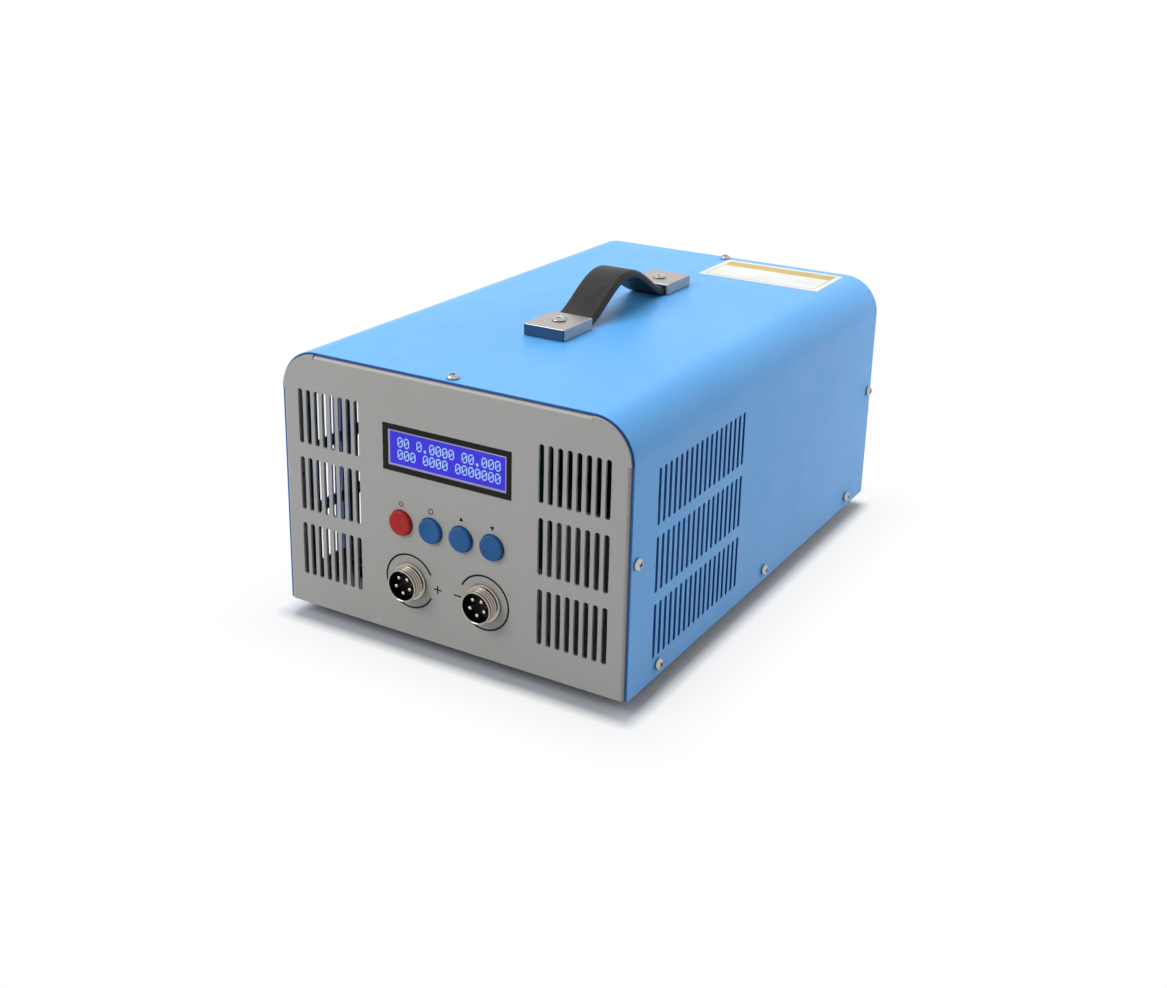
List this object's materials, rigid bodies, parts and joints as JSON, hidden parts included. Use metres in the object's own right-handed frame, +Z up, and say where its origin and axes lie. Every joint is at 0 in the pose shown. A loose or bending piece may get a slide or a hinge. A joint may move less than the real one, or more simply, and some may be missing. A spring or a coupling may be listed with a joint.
{
  "type": "battery capacity tester",
  "caption": "Bench instrument in a vented folded steel case with a display, push buttons, round output sockets, a fan-cooled power stage and a carrying strap.",
  "frame": {"origin": "middle of the box, on the surface that the four feet stand on", "axes": "+X to the right seen from the front, +Y from the front panel to the rear panel along the longest side, +Z up"},
  "size_m": [0.1946, 0.3038, 0.1595],
  "materials": {
    "blue_paint": "satin",
    "grey_panel": "satin",
    "zinc_sheet": "satin",
    "bright_steel": "polished",
    "satin_nickel": "satin",
    "black_rubber": "matte",
    "strap_rubber": "satin",
    "black_metal": "satin",
    "black_plastic": "matte",
    "blue_display": "gloss",
    "green_board": "satin",
    "red_cap": "gloss",
    "blue_cap": "gloss",
    "plain_aluminium": "satin",
    "red_lead": "satin",
    "black_lead": "satin",
    "brown_lead": "satin",
    "blue_lead": "satin",
    "grey_ribbon": "matte"
  },
  "bodies": {
    "case": {"cover": "blue_paint", "front_panel": "grey_panel", "rear_panel": "grey_panel", "base_tray": "zinc_sheet", "foot_front_left": "black_rubber", "foot_front_right": "black_rubber", "foot_rear_left": "black_rubber", "foot_rear_right": "black_rubber", "side_screw_left_front": "bright_steel", "side_screw_left_floor_front": "bright_steel", "side_screw_left_floor_middle": "bright_steel", "side_screw_left_floor_rear": "bright_steel", "side_screw_left_rear": "bright_steel", "side_screw_right_front": "bright_steel", "side_screw_right_floor_front": "bright_steel", "side_screw_right_floor_middle": "bright_steel", "side_screw_right_floor_rear": "bright_steel", "side_screw_right_rear": "bright_steel", "top_screw_front": "bright_steel", "top_screw_rear": "bright_steel", "handle_cap_front": "satin_nickel", "handle_cap_rear": "satin_nickel", "handle_screw_front": "bright_steel", "handle_screw_rear": "bright_steel", "handle_strap": "strap_rubber", "display_frame": "black_metal", "display_glass": "blue_display", "display_board": "green_board", "control_board": "green_board", "socket_shell_left": "satin_nickel", "socket_shell_right": "satin_nickel", "socket_insert_left": "black_plastic", "socket_insert_right": "black_plastic", "socket_nut_left": "bright_steel", "socket_nut_right": "bright_steel", "heatsink": "plain_aluminium", "load_board": "green_board", "power_supply": "zinc_sheet", "fan_frame": "black_plastic", "fan_screw_upper_left": "bright_steel", "fan_screw_upper_right": "bright_steel", "fan_screw_lower_left": "bright_steel", "fan_screw_lower_right": "bright_steel", "power_inlet": "black_plastic", "switch_body": "black_plastic", "data_port": "bright_steel", "positive_lead": "red_lead", "negative_lead": "black_lead", "live_lead": "brown_lead", "neutral_lead": "blue_lead", "signal_ribbon": "grey_ribbon"},
    "start_button": {"start_button": "red_cap"},
    "set_button": {"set_button": "blue_cap"},
    "up_button": {"up_button": "blue_cap"},
    "down_button": {"down_button": "blue_cap"},
    "fan_rotor": {"fan_rotor": "black_plastic"},
    "switch_rocker": {"switch_rocker": "red_cap"}
  },
  "joints": [
    {"name": "start_button_press", "type": "slide", "parent": "case", "child": "start_button", "axis": [0, 1, 0], "range_m": [0, 0.0005], "stiffness_N_per_m": 1500},
    {"name": "set_button_press", "type": "slide", "parent": "case", "child": "set_button", "axis": [0, 1, 0], "range_m": [0, 0.0005], "stiffness_N_per_m": 1500},
    {"name": "up_button_press", "type": "slide", "parent": "case", "child": "up_button", "axis": [0, 1, 0], "range_m": [0, 0.0005], "stiffness_N_per_m": 1500},
    {"name": "down_button_press", "type": "slide", "parent": "case", "child": "down_button", "axis": [0, 1, 0], "range_m": [0, 0.0005], "stiffness_N_per_m": 1500},
    {"name": "fan_spin", "type": "hinge", "parent": "case", "child": "fan_rotor", "pos_m": [-0.046, 0.132, 0.064], "axis": [0, 1, 0], "continuous": true},
    {"name": "rocker_tip", "type": "hinge", "parent": "case", "child": "switch_rocker", "pos_m": [0.05, 0.1498, 0.074], "axis": [1, 0, 0], "range_deg": [-18, 0]}
  ]
}
